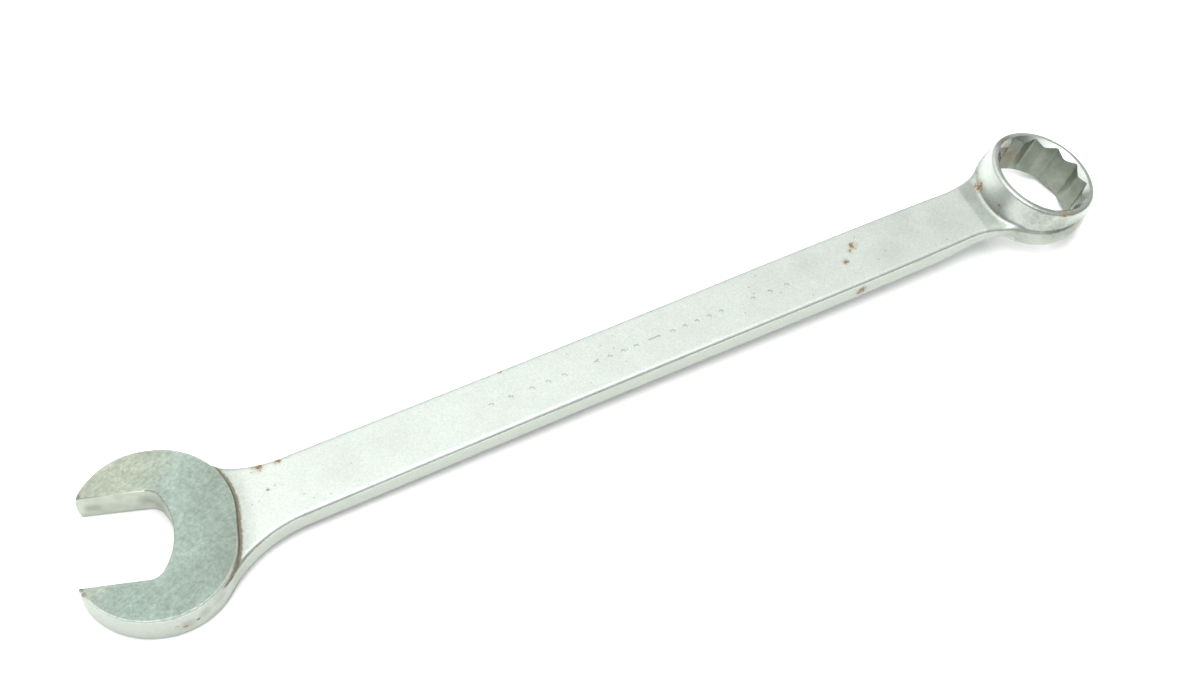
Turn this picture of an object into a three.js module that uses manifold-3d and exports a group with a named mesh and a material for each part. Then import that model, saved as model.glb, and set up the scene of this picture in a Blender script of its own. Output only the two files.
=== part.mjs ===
// Combination wrench for a 1 inch hexagon: an open end and a twelve-point box end on one flat shank.
//
// The real tool is a single drop forging. It is drawn in its own frame: X runs along the shank from
// the open end to the box end, Z stands square to the flat faces, and the zero point is on the shank's
// axis by the bottom of the throat. Flat planes then part the forging into its named regions, which
// meet face to face. Last, the whole wrench is laid on its two feet, the tips of the jaws and the low
// edge of the box ring, with its origin at the bottom centre of its bounding box.

import * as THREE from 'three';
import { mergeVertices } from 'three/addons/utils/BufferGeometryUtils.js';
import Module from 'manifold-3d';

// ---- Driving dimensions, in millimetres and degrees ----

const ACROSS_FLATS = 25.65; // takes a 25.4 mm (1 inch) hexagon, at both ends

// Open end. Its own axes are u, into the throat, and v, across the mouth.
const MOUTH_ANGLE = 17.2; // the mouth's turn from the shank
const HEAD_THICKNESS = 10.5;
const HEAD_EDGE = 0.6; // rounding of the head's rim
const LOBE_RADIUS = 21.5; // the round outside of each jaw
const LOBE_U = -5.3; // the two lobes' centres
const LOBE_V = 3.7;
const LOBE_REACH = 1.1; // how far each lobe is drawn out towards the mouth
const THROAT_U = -0.4; // bottom of the throat
const THROAT_RADIUS = 20; // its shallow curve
const THROAT_CORNER = 4.5; // the curve between a flat and the throat
const JAW_TIP_U = -25.5; // where the jaws end, bluntly

// Shank: half its width at stations along it, between the two flares.
const SHANK_THICKNESS = 8.2;
const SHANK_EDGE_RISE = 2.0; // its long edges, rounded over this height
const SHANK_EDGE_INSET = 1.8; // and this width
const SHANK_STATIONS = [[33, 9.45], [50, 9.4], [75, 9.2], [110, 9.1], [160, 9.1], [215, 9.15], [243, 8.7]];
const OPEN_FLARE = [ // the sweeps into the open end, on the side of the near jaw and of the far jaw
  { radius: 39.5, turn: 0.68 },
  { radius: 34, turn: 0.6 },
];
const BOX_FLARE = { radius: 30, turn: 0.52 }; // the sweep into the box end
const SHANK_ROOTS = [[4, 8], [266, 8]]; // where its plate ends, buried inside the head and the ring

// Box end: a ring whose axis leans towards the wrench's end.
const RING_TILT = 16.5;
const RIM_X = 271.9; // centre of the upper rim
const RIM_Z = 8.0;
const RING_DEPTH = 14.7; // rim to rim, along the ring's axis
const RING_WALL = [[15.3, 0], [16.1, 0.8], [16.9, 5.2], [17.6, 6.4], [17.6, 8.6], [16.4, 13.7], [15.5, 14.7]];
const POINT_RADIUS = 14.6; // the bore's twelve points, slightly rounded off
const POINT_TURN = 2.8; // the points' turn about the ring's axis
const LEAD_IN_RADIUS = 14.9; // chamfer into the bore, at each rim
const LEAD_IN_DEPTH = 1.6;

// Underside of the box neck, which climbs to the ring's lower rim.
const HEEL_X = [232, 252];
const HEEL_RISE = 2.7;
const SPOT_FACE_RADIUS = 19.5;

// Planes that part the regions.
const NECK_X = 20;
const SHANK_X = [46, 228];
const RING_X = 247;

const ARC_STEPS = 12;
const RING_STEPS = 72;
const FAR = 60; // reach of a cutter that passes right through

// ---- Materials ----

const forged = { color: 0xd2d8d2, metalness: 1, roughness: 0.36 };
const ground = { color: 0xaeb9b4, metalness: 1, roughness: 0.44 };

// ---- Solids ----

const wasm = await Module();
wasm.setup();

function solidOf(geometry) {
  const bare = geometry.clone();
  bare.deleteAttribute('normal');
  bare.deleteAttribute('uv');
  const merged = mergeVertices(bare, 1e-4);
  return new wasm.Manifold(new wasm.Mesh({
    numProp: 3,
    vertProperties: new Float32Array(merged.attributes.position.array),
    triVerts: new Uint32Array(merged.index.array),
  }));
}

function meshOf(name, solid, finish) {
  const { vertProperties, triVerts } = solid.getMesh();
  const geometry = new THREE.BufferGeometry();
  geometry.setAttribute('position', new THREE.BufferAttribute(vertProperties, 3));
  geometry.setIndex(new THREE.BufferAttribute(triVerts, 1));
  geometry.computeVertexNormals();
  const mesh = new THREE.Mesh(geometry, new THREE.MeshStandardMaterial(finish));
  mesh.name = name;
  return mesh;
}

// A plate of the given outline, centred on z = 0, with its long edges rounded over.
function plate(outline, thickness, rise, inset, segments) {
  const geometry = new THREE.ExtrudeGeometry(outline, {
    depth: thickness - 2 * rise,
    bevelEnabled: rise > 0,
    bevelThickness: rise,
    bevelSize: inset,
    bevelOffset: -inset,
    bevelSegments: segments,
    curveSegments: ARC_STEPS,
  });
  return geometry.translate(0, 0, rise - thickness / 2);
}

function block(low, high) {
  const size = high.map((value, i) => value - low[i]);
  const middle = high.map((value, i) => (value + low[i]) / 2);
  return new THREE.BoxGeometry(...size).translate(...middle);
}

// The outline through a list of [x, y] points.
function outlineOf(points) {
  return new THREE.Shape(points.map(([x, y]) => new THREE.Vector2(x, y)));
}

// ---- Open end, drawn in u and v ----

const mouthTurn = new THREE.Matrix4().makeRotationZ(-THREE.MathUtils.degToRad(MOUTH_ANGLE));

function headBlank() {
  const outline = new THREE.Shape();
  const corners = [[0, LOBE_V], [LOBE_REACH, LOBE_V], [LOBE_REACH, -LOBE_V], [0, -LOBE_V]];
  corners.forEach(([reach, v], i) => {
    const start = i * Math.PI / 2;
    outline.absarc(LOBE_U - reach, v, LOBE_RADIUS, start, start + Math.PI / 2, false);
  });
  outline.closePath();
  return solidOf(plate(outline, HEAD_THICKNESS, HEAD_EDGE, HEAD_EDGE, 2).applyMatrix4(mouthTurn));
}

// Where each flat of the mouth ends and its corner curve begins.
const cornerV = ACROSS_FLATS / 2 - THROAT_CORNER;
const cornerU = THROAT_U - THROAT_RADIUS
  + Math.sqrt((THROAT_RADIUS - THROAT_CORNER) ** 2 - cornerV ** 2);

function mouthGap() {
  const half = ACROSS_FLATS / 2;
  const centre = THROAT_U - THROAT_RADIUS;
  const turn = Math.atan2(cornerV, cornerU - centre);
  const gap = new THREE.Shape();
  gap.moveTo(-FAR, -half);
  gap.lineTo(cornerU, -half);
  gap.absarc(cornerU, -cornerV, THROAT_CORNER, -Math.PI / 2, -turn, false);
  gap.absarc(centre, 0, THROAT_RADIUS, -turn, turn, false);
  gap.absarc(cornerU, cornerV, THROAT_CORNER, turn, Math.PI / 2, false);
  gap.lineTo(-FAR, half);
  gap.closePath();
  return solidOf(plate(gap, 2 * HEAD_THICKNESS, 0, 0, 1).applyMatrix4(mouthTurn));
}

function beyondJawTips() {
  return solidOf(block([-FAR, -FAR, -FAR], [JAW_TIP_U, FAR, FAR]).applyMatrix4(mouthTurn));
}

// ---- Shank, with its sweeps into both ends ----

// Points of a sweep that leaves the shank's edge at `start` and widens as it goes.
function sweep([startX, startHalf], { radius, turn }, direction) {
  return Array.from({ length: ARC_STEPS }, (_, i) => {
    const angle = turn * (i + 1) / ARC_STEPS;
    return [
      startX + direction * radius * Math.sin(angle),
      startHalf + radius * (1 - Math.cos(angle)),
    ];
  });
}

function shankPlate() {
  const [near, far] = OPEN_FLARE.map(
    (flare) => sweep(SHANK_STATIONS[0], flare, -1).reverse().concat(SHANK_STATIONS),
  );
  const boxSweep = sweep(SHANK_STATIONS.at(-1), BOX_FLARE, 1);
  const [openRoot, boxRoot] = SHANK_ROOTS;
  const nearSide = [openRoot, ...near, ...boxSweep, boxRoot].map(([x, half]) => [x, -half]);
  const farSide = [openRoot, ...far, ...boxSweep, boxRoot].reverse();
  const outline = outlineOf([...nearSide, ...farSide]);
  return solidOf(plate(outline, SHANK_THICKNESS, SHANK_EDGE_RISE, SHANK_EDGE_INSET, 3));
}

// ---- Box end, drawn about the ring's own axis with its upper rim at z = 0 ----

const ringPlace = new THREE.Matrix4().makeRotationY(THREE.MathUtils.degToRad(RING_TILT))
  .setPosition(RIM_X, 0, RIM_Z);

// A solid of revolution about the ring's axis, from [radius, depth] points going down.
function turned(wall, steps) {
  const profile = wall.map(([radius, depth]) => new THREE.Vector2(radius, -depth)).reverse();
  const [lowest, highest] = [profile[0].y, profile.at(-1).y];
  const closed = [new THREE.Vector2(0, lowest), ...profile, new THREE.Vector2(0, highest)];
  return solidOf(new THREE.LatheGeometry(closed, steps).rotateX(Math.PI / 2).applyMatrix4(ringPlace));
}

// Twelve-point hole: two hexagons a twelfth of a turn apart, so points and crests alternate.
function boreCutter() {
  const crest = ACROSS_FLATS / 2 / Math.cos(Math.PI / 12);
  const star = Array.from({ length: 24 }, (_, i) => {
    const angle = THREE.MathUtils.degToRad(POINT_TURN + 15 * i);
    const radius = i % 2 ? crest : POINT_RADIUS;
    return [radius * Math.cos(angle), radius * Math.sin(angle)];
  });
  const hole = plate(outlineOf(star), 2 * FAR, 0, 0, 1);
  return solidOf(hole.applyMatrix4(ringPlace));
}

function leadIns() {
  const inner = LEAD_IN_RADIUS - LEAD_IN_DEPTH;
  const outer = LEAD_IN_RADIUS + LEAD_IN_DEPTH;
  const upper = turned([[outer, -LEAD_IN_DEPTH], [inner, LEAD_IN_DEPTH]], RING_STEPS);
  const lower = turned(
    [[inner, RING_DEPTH - LEAD_IN_DEPTH], [outer, RING_DEPTH + LEAD_IN_DEPTH]],
    RING_STEPS,
  );
  return upper.add(lower);
}

// What is cleared away below the box neck: a ramp, and a round spot face below the ring.
function underNeck() {
  const half = SHANK_THICKNESS / 2;
  const [startX, endX] = HEEL_X;
  const slope = HEEL_RISE / (endX - startX);
  const ramp = outlineOf([
    [startX, -half],
    [startX, -FAR],
    [startX + FAR, -FAR],
    [startX + FAR, slope * FAR - half],
  ]);
  const wedge = plate(ramp, 2 * FAR, 0, 0, 1).rotateX(Math.PI / 2);
  const spotFace = turned([[SPOT_FACE_RADIUS, RING_DEPTH], [SPOT_FACE_RADIUS, FAR]], RING_STEPS);
  return solidOf(wedge).add(spotFace);
}

// ---- The forging, and its regions ----

function forging() {
  const shank = shankPlate().subtract(underNeck());
  const body = headBlank().add(shank).add(turned(RING_WALL, RING_STEPS));
  return body
    .subtract(mouthGap())
    .subtract(beyondJawTips())
    .subtract(boreCutter())
    .subtract(leadIns());
}

function wrench() {
  const along = [1, 0, 0]; // each split gives what lies beyond the plane, then the rest
  const u = new THREE.Vector3(1, 0, 0).applyMatrix4(mouthTurn).toArray();
  const v = [0, 1, 0];
  const [ring, beforeRing] = forging().splitByPlane(along, RING_X);
  const [boxNeck, beforeBoxNeck] = beforeRing.splitByPlane(along, SHANK_X[1]);
  const [shank, beforeShank] = beforeBoxNeck.splitByPlane(along, SHANK_X[0]);
  const [openNeck, head] = beforeShank.splitByPlane(along, NECK_X);
  const [throat, jaws] = head.splitByPlane(u, cornerU);
  const [upperJaw, lowerJaw] = jaws.splitByPlane(v, 0);
  const group = new THREE.Group();
  group.add(
    meshOf('upper_jaw', upperJaw, ground),
    meshOf('lower_jaw', lowerJaw, ground),
    meshOf('throat', throat, ground),
    meshOf('open_end_neck', openNeck, forged),
    meshOf('shank', shank, forged),
    meshOf('box_end_neck', boxNeck, forged),
    meshOf('box_ring', ring, forged),
  );
  return group;
}

// ---- Lying on its two feet ----

// The lowest corner of a mesh once the wrench is pitched up by `pitch` towards the box end.
function foot(mesh, pitch) {
  const corners = mesh.geometry.attributes.position;
  const lowest = { x: 0, z: Infinity, height: Infinity };
  for (let i = 0; i < corners.count; i += 1) {
    const [x, z] = [corners.getX(i), corners.getZ(i)];
    const height = x * Math.sin(pitch) + z * Math.cos(pitch);
    if (height < lowest.height) Object.assign(lowest, { x, z, height });
  }
  return lowest;
}

function laidDown(group) {
  const jaw = group.getObjectByName('lower_jaw');
  const ring = group.getObjectByName('box_ring');
  const firstPitch = THREE.MathUtils.degToRad(1);
  const [jawFoot, ringFoot] = [foot(jaw, firstPitch), foot(ring, firstPitch)];
  group.rotation.y = -Math.atan2(jawFoot.z - ringFoot.z, ringFoot.x - jawFoot.x);
  const laid = new THREE.Group();
  laid.add(group);
  laid.updateMatrixWorld(true);
  const box = new THREE.Box3().setFromObject(laid, true);
  const centre = box.getCenter(new THREE.Vector3());
  laid.position.set(-centre.x, -centre.y, -box.min.z);
  return laid;
}

export default laidDown(wrench());
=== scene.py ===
"""A combination wrench on a studio floor: one satin-plated forging, with an open end and a box end.

The forging is drawn in its own axes, in millimetres: x along the shank from the open end, z square
to the flat faces, and zero on the shank's axis by the bottom of the throat. Its raw skin comes from
a distance field, its cuts from solids, and it is then parted into the CAD's regions and laid down.
"""

from math import atan2, cos, pi, radians, sin, sqrt, tan

import bpy
import numpy as np
from bpy.props import FloatProperty, FloatVectorProperty, PointerProperty
from bpy.types import Operator, Panel, PropertyGroup
from mathutils import Matrix, Vector


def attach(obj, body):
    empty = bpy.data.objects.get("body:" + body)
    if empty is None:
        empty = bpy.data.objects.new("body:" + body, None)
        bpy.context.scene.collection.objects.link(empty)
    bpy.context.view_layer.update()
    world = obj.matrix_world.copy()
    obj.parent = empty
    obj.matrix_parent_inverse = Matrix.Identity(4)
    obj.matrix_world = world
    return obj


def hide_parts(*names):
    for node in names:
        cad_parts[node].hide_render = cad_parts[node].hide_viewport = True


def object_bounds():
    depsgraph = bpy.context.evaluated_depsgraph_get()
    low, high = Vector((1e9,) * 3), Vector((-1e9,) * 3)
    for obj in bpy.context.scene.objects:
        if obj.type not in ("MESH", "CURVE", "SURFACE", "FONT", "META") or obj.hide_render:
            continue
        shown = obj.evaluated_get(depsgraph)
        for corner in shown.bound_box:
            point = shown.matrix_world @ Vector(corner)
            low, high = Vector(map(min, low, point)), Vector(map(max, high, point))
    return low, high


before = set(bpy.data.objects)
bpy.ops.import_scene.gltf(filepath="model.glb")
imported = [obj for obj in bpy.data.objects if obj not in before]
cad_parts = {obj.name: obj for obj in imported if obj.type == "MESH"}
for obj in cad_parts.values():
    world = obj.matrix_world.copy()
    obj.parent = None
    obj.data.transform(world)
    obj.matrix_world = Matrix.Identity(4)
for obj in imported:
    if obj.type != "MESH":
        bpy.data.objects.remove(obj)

bl_info = {
    "name": "Combination Wrench",
    "version": (1, 0, 0),
    "blender": (4, 5, 0),
    "location": "3D View > Sidebar > Wrench",
    "description": "Builds a forged combination wrench, its finishes and a plain studio",
    "category": "Add Mesh",
}

CAD_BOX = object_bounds()
BODY = "root"
MM = 0.001

# ---- Shape of the forging, in millimetres and radians ----

# Open end. Its own axes are u, into the throat, and v, across the mouth.
LOBE_U, LOBE_V = -5.3, 3.7  # centres of the jaws' round outsides
LOBE_REACH = 1.1  # how far the round outsides are drawn out towards the mouth
HEAD_DRAFT = 0.35  # how much narrower the head is at its faces than at mid height
GRINDING = 0.3  # taken off each face of the raw head
HEAD_EDGE = 0.8
JAW_TIP_U = -25.5
JAW_TIP_ROUND = 1.2
THROAT_U, THROAT_RADIUS, THROAT_CORNER = -0.4, 20, 4.5
THROAT_STEPS, CORNER_STEPS = 16, 10  # straight stretches in each arc of the throat
MOUTH_CHAMFER = 0.22

# Shank: half its width at stations along it, and the sweeps into both ends as (radius, turn).
SHANK_STATIONS = ((33, 9.45), (50, 9.4), (75, 9.2), (110, 9.1), (160, 9.1), (215, 9.15), (243, 8.7))
NEAR_SWEEP, FAR_SWEEP, BOX_SWEEP = (39.5, 0.68), (34, 0.6), (30, 0.52)
SHANK_ENDS = (4, 266)  # inside the head and the ring
SHANK_EDGE, SHANK_LOWER_EDGE = 1.4, 2.7
TRIMMED = 0.08  # taken off both sides when the flash was trimmed
NEAR_FILLET, FAR_FILLET = 0.4, 3.0  # in plan, between the shank and the head
STEP_FILLET = 0.5  # at the foot of the head's wall

# Box end: a ring whose axis leans, drawn as (radius, depth below the upper rim).
RIM_X, RIM_Z = 271.9, 8.0
RING_DEPTH = 14.7
RING_CORE = -20  # its section runs right through the axis until the bore is cut
RING_WALL = ((16.6, 0), (16.95, 5.2), (17.3, 9), (16.4, 13.8), (15.5, 14.7))
RING_EDGE = 0.95
RING_FILLET = 1.3
BAND_X, BAND_RADIUS = 269.5, 17.6  # a level band round it, where the flash was trimmed
BAND_Z = (-2.9, 2.9)
BAND_EDGE = 0.5
BAND_FILLET = 0.8
BORE_POINTS = 12
POINT_RADIUS, POINT_TURN, POINT_ROUND = 14.6, radians(2.8), 0.45
LEAD_IN_RADIUS, LEAD_IN_DEPTH, LEAD_IN_STEPS = 14.9, 1.6, 144
SPOT_FACE_RADIUS = 19.5
NECK_DIP_X, NECK_DIP = (247.5, 252.5), 0.7  # the neck's upper face falls before the ring
HEEL_X, HEEL_RISE = (232, 252), 2.7  # and its lower face climbs

# Planes that part the regions, across the shank.
NECK_X, SHANK_X, RING_X = 20, (46, 228), 247

# Skin of the raw forging.
SKIN_STEP = 0.4
SKIN_REACH = ((-31, 292), (-27, 28), (-12.8, 14.4))
SLABS = 24
HEAD_REACH, RING_REACH = 34, 236  # the head and the ring are left out of the field beyond these
SETTLE_STEP, SETTLE_ROUNDS = 0.02, 3  # how the skin's points are moved onto the surface
SHARP_ANGLE = radians(30)
FAR = 60  # reach of a cutter that passes right through
GRIND_X = 32  # the grinding of the head stops here
PAST_HEAD, PAST_SHANK, PAST_RING = 2, 1, 8  # how far the cutters start outside each face

# How a cut face is told from the raw skin: how far under the skin it lies, and how it is turned.
GROUND_CUT, MOUTH_CUT, BORE_CUT = 0.02, 0.03, 0.05
FLAT_FACING = 0.9
WALL_FACING, CONE_FACING = 0.4, 0.9  # along the ring's axis, less than these

# Marks stamped in the upper face: a dash and rows of plain dots.
STAMP_DEPTH = 0.3
DASH_X, DASH_WIDTH = (139.3, 142.9), 0.598
DOT_Y, DOT_RADIUS, DOT_SIDES = -0.3, 0.736, 16
# Each row of dots: where it starts and ends, and how many it has.
DOT_ROWS = ((90.7, 96.6, 2), (103, 113, 3), (123, 135.5, 4), (147, 162.5, 5), (173, 184, 3))

# Painted shade and dirt in the corners at both ends: how much lies right in each, and how far out
# it fades away.
HEAD_DIRT_AND_SHADE, HEAD_DIRT_AND_SHADE_Z = ((1, 2), (0.4, 6)), (2.4, 3.6)
RING_DIRT_AND_SHADE = ((0.6, 1.2), (0.35, 5))


def wrench_sizes():
    """The sizes that a user may change, in millimetres and radians."""
    return bpy.context.scene.wrench_sizes


def in_mm(length):
    return length / MM


def half_of(size):
    """Half of one of the sizes, in millimetres."""
    return in_mm(getattr(wrench_sizes(), size)) / 2


# ---- Distance field of the raw forging ----


def smooth_min(a, b, reach):
    """The lesser of two distances, with a fillet about `reach` wide where they meet."""
    share = np.clip(0.5 + 0.5 * (b - a) / reach, 0, 1)
    return b + (a - b) * share - reach * share * (1 - share)


def rounded_plate(plan, height, edge):
    """Distance to a plate with rounded edges, from the distances past its outline and its faces."""
    over, up = plan + edge, height + edge
    outside = np.hypot(np.maximum(over, 0), np.maximum(up, 0))
    return np.minimum(np.maximum(over, up), 0) + outside - edge


def mouth_axes(x, y):
    turn = wrench_sizes().mouth_angle
    return x * cos(turn) - y * sin(turn), x * sin(turn) + y * cos(turn)


def from_mouth(u, v):
    turn = wrench_sizes().mouth_angle
    return u * cos(turn) + v * sin(turn), v * cos(turn) - u * sin(turn)


def head_plan(x, y):
    """Distance past the head's outline at mid height."""
    u, v = mouth_axes(x, y)
    along = np.maximum(u - LOBE_U, 0) + np.minimum(u - LOBE_U + LOBE_REACH, 0)
    return np.hypot(along, np.maximum(np.abs(v) - LOBE_V, 0)) - in_mm(wrench_sizes().lobe_radius)


def head_wall(x, y, z):
    """Distance past the head's outline, which draws in towards its faces."""
    return head_plan(x, y) + HEAD_DRAFT * (z / half_of("head_thickness")) ** 2


def head_blank(x, y, z):
    height = np.abs(z) - half_of("head_thickness") - GRINDING
    plate = rounded_plate(head_wall(x, y, z), height, HEAD_EDGE)
    beyond_tips = JAW_TIP_U - mouth_axes(x, y)[0]
    return -smooth_min(-plate, -beyond_tips, JAW_TIP_ROUND)


def shank_half_width(x, open_sweep):
    """Half the shank's width at x, on the side that sweeps into the open end as given."""
    stations, halves = np.array(SHANK_STATIONS).T
    half = np.polyval(np.polyfit(stations, halves, 4), np.clip(x, stations[0], stations[-1]))
    for (radius, turn), run in ((open_sweep, stations[0] - x), (BOX_SWEEP, x - stations[-1])):
        run = np.clip(run, 0, radius * sin(turn))
        half = half + radius - np.sqrt(radius**2 - run**2)
    return half


def shank_outline(x, y):
    """Distance past the shank's own outline, with its sweeps."""
    small = 0.1
    sweeps = (NEAR_SWEEP, FAR_SWEEP)
    near, far = (shank_half_width(x, sweep) for sweep in sweeps)
    near_ahead, far_ahead = (shank_half_width(x + small, sweep) for sweep in sweeps)
    half = np.where(y > 0, far, near)
    slope = (np.where(y > 0, far_ahead, near_ahead) - half) / small
    side = (np.abs(y) - half) / np.hypot(1, slope)
    return np.maximum(side, np.maximum(SHANK_ENDS[0] - x, x - SHANK_ENDS[1]))


def shank_plan(x, y):
    """Distance past the shank's outline where it runs into the head's."""
    fillet = np.where(y > 0, FAR_FILLET, NEAR_FILLET)
    return smooth_min(shank_outline(x, y), head_plan(x, y) + HEAD_DRAFT, fillet)


def shank_blank(x, y, z):
    half = half_of("shank_thickness")
    plan = shank_plan(x, y)
    top = half - np.interp(x, NECK_DIP_X, (0, NECK_DIP))
    bottom = -half + np.interp(x, HEEL_X, (0, HEEL_RISE))
    height = np.maximum(z - top, bottom - z)
    edge = np.where(z > 0, SHANK_EDGE, SHANK_LOWER_EDGE)
    return np.maximum(rounded_plate(plan - TRIMMED, height, edge), plan)


def ring_axes(x, y, z):
    """Radius from the ring's leaning axis, and depth below its upper rim."""
    tilt = wrench_sizes().ring_tilt
    across = (x - RIM_X) * cos(tilt) - (z - RIM_Z) * sin(tilt)
    depth = (x - RIM_X) * -sin(tilt) - (z - RIM_Z) * cos(tilt)
    return np.hypot(across, y), depth


def inset(corners, by):
    """A closed section's corners, moved inwards along both of their edges' normals."""
    points = np.array(corners, float)
    edges = np.roll(points, -1, 0) - points
    out = np.stack([edges[:, 1], -edges[:, 0]], 1) / np.linalg.norm(edges, axis=1)[:, None]
    before = np.roll(out, 1, 0)
    return points - by * (out + before) / (1 + (out * before).sum(1))[:, None]


def section_distance(radius, depth, corners):
    """Distance to a closed section, negative inside."""
    nearest = np.inf
    inside = False
    for (r0, d0), (r1, d1) in zip(corners, np.roll(corners, -1, 0)):
        along_r, along_d = r1 - r0, d1 - d0
        share = (radius - r0) * along_r + (depth - d0) * along_d
        share = np.clip(share / (along_r**2 + along_d**2), 0, 1)
        gap = np.hypot(radius - r0 - share * along_r, depth - d0 - share * along_d)
        nearest = np.minimum(nearest, gap)
        if along_d:
            beside = radius < r0 + (depth - d0) * along_r / along_d
            inside = inside ^ (((d0 > depth) != (d1 > depth)) & beside)
    return np.where(inside, -nearest, nearest)


def ring_blank(x, y, z):
    section = ((RING_CORE, 0), *RING_WALL, (RING_CORE, RING_DEPTH))
    drum = section_distance(*ring_axes(x, y, z), inset(section, RING_EDGE)) - RING_EDGE
    low, high = BAND_Z
    height = np.maximum(z - high, low - z)
    band = rounded_plate(np.hypot(x - BAND_X, y) - BAND_RADIUS, height, BAND_EDGE)
    return smooth_min(drum, band, BAND_FILLET)


def forging_blank(x, y, z):
    """Distance to the raw forging, before anything is ground or cut."""
    blank = shank_blank(x, y, z)
    if np.min(x) < HEAD_REACH:
        blank = smooth_min(blank, head_blank(x, y, z), STEP_FILLET)
    if np.max(x) > RING_REACH:
        blank = smooth_min(blank, ring_blank(x, y, z), RING_FILLET)
        radius, depth = ring_axes(x, y, z)
        blank = np.maximum(blank, -np.maximum(radius - SPOT_FACE_RADIUS, RING_DEPTH - depth))
    return blank


# ---- Skin over the field ----


def sampled_field(axes):
    y, z = axes[1][None, :, None], axes[2][None, None, :]
    slabs = np.array_split(axes[0], SLABS)
    return np.concatenate([forging_blank(slab[:, None, None], y, z) for slab in slabs])


def cell_points(field, cells):
    """Where the surface crosses each cell: the mean of its crossings with the cell's edges."""
    offsets = np.array([(i, j, k) for i in (0, 1) for j in (0, 1) for k in (0, 1)])
    values = np.stack([field[tuple((cells + offset).T)] for offset in offsets], 1)
    total = np.zeros(cells.shape)
    crossings = np.zeros((len(cells), 1))
    for a, start in enumerate(offsets):
        for axis in np.flatnonzero(start == 0):
            end = start.copy()
            end[axis] = 1
            b = int(end @ (4, 2, 1))
            crossed = (values[:, a] < 0) != (values[:, b] < 0)
            change = np.where(crossed, values[:, a] - values[:, b], 1)
            at = start + (values[:, a] / change)[:, None] * (end - start)
            total += np.where(crossed[:, None], at, 0)
            crossings += crossed[:, None]
    return cells + total / crossings


def skin(step):
    """Points and quads over the raw forging, one point to each cell that its surface crosses."""
    axes = [np.arange(low, high, step) for low, high in SKIN_REACH]
    field = sampled_field(axes)
    inside = field < 0
    ends = (slice(None, -1), slice(1, None))
    corners = [inside[i, j, k].astype(np.uint8) for i in ends for j in ends for k in ends]
    count = sum(corners)
    crossed = (count > 0) & (count < len(corners))
    cells = np.argwhere(crossed)
    index = np.full(crossed.shape, -1)
    index[crossed] = np.arange(len(cells))
    quads = []
    for axis in range(3):
        lower, upper = [slice(None)] * 3, [slice(None)] * 3
        lower[axis], upper[axis] = ends
        starts = np.argwhere(inside[tuple(lower)] != inside[tuple(upper)])
        quad = np.empty((len(starts), 4), int)
        for corner, (first, second) in enumerate(((-1, -1), (0, -1), (0, 0), (-1, 0))):
            cell = starts.copy()
            cell[:, (axis + 1) % 3] += first
            cell[:, (axis + 2) % 3] += second
            quad[:, corner] = index[tuple(cell.T)]
        outwards = inside[tuple(starts.T)]
        quads.append(np.where(outwards[:, None], quad, quad[:, ::-1]))
    low = np.array([axis[0] for axis in axes])
    return low + step * cell_points(field, cells), np.concatenate(quads)


def settled(points, step):
    """The points, moved along the field's slope onto the surface itself."""
    for _ in range(SETTLE_ROUNDS):
        here = forging_blank(*points.T)
        ahead = [forging_blank(*(points + SETTLE_STEP * unit).T) for unit in np.eye(3)]
        slope = (np.stack(ahead, 1) - here[:, None]) / SETTLE_STEP
        move = -(here / (slope**2).sum(1))[:, None] * slope
        points = points + np.clip(move, -step / 2, step / 2)
    return points


# ---- Solids and cuts ----


def linked(name, mesh):
    """A new object in the scene."""
    made = bpy.data.objects.new(name, mesh)
    bpy.context.scene.collection.objects.link(made)
    return made


def mesh_of(name, points, faces):
    """A mesh from points in millimetres."""
    mesh = bpy.data.meshes.new(name)
    mesh.from_pydata(np.asarray(points) * MM, [], faces)
    return mesh


def prism(levels):
    """Points and faces of a closed solid through equal rings of points, lowest first."""
    count = len(levels[0])
    faces = [tuple(reversed(range(count)))]
    for level in range(len(levels) - 1):
        base = level * count
        for i in range(count):
            j = (i + 1) % count
            faces.append((base + i, base + j, base + count + j, base + count + i))
    top = (len(levels) - 1) * count
    faces.append(tuple(range(top, top + count)))
    return [point for level in levels for point in level], faces


def flat_prism(outline, low, high):
    return prism([[(x, y, z) for x, y in outline] for z in (low, high)])


def together(solids):
    """Several separate solids as one list of points and one of faces."""
    points, faces = [], []
    for more_points, more_faces in solids:
        faces += [tuple(i + len(points) for i in face) for face in more_faces]
        points += more_points
    return points, faces


def carved(solid, points, faces, operation="DIFFERENCE"):
    """Gives the object the mesh that is left once another solid is cut away, or kept in common."""
    cutter = linked("cutter", mesh_of("cutter", points, faces))
    cut = solid.modifiers.new("cut", "BOOLEAN")
    cut.operation, cut.solver, cut.object = operation, "MANIFOLD", cutter
    evaluated = solid.evaluated_get(bpy.context.evaluated_depsgraph_get())
    mesh = bpy.data.meshes.new_from_object(evaluated)
    solid.modifiers.clear()
    old, solid.data = solid.data, mesh
    for unused in (old, cutter.data):
        bpy.data.meshes.remove(unused)
    if not mesh.polygons:
        raise RuntimeError(f"nothing is left of {solid.name} after a cut")


def block(low, high):
    (x0, y0, z0), (x1, y1, z1) = low, high
    return flat_prism([(x0, y0), (x1, y0), (x1, y1), (x0, y1)], z0, z1)


def arc(centre, radius, start, end, steps):
    angles = np.linspace(start, end, steps + 1)
    return [(centre[0] + radius * cos(a), centre[1] + radius * sin(a)) for a in angles]


def throat_centres():
    """Where the throat's arcs have their centres: u of the wide one, then u and v of a corner."""
    centre_u = THROAT_U - THROAT_RADIUS
    corner_v = half_of("across_flats") - THROAT_CORNER
    return centre_u, centre_u + sqrt((THROAT_RADIUS - THROAT_CORNER) ** 2 - corner_v**2), corner_v


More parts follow.
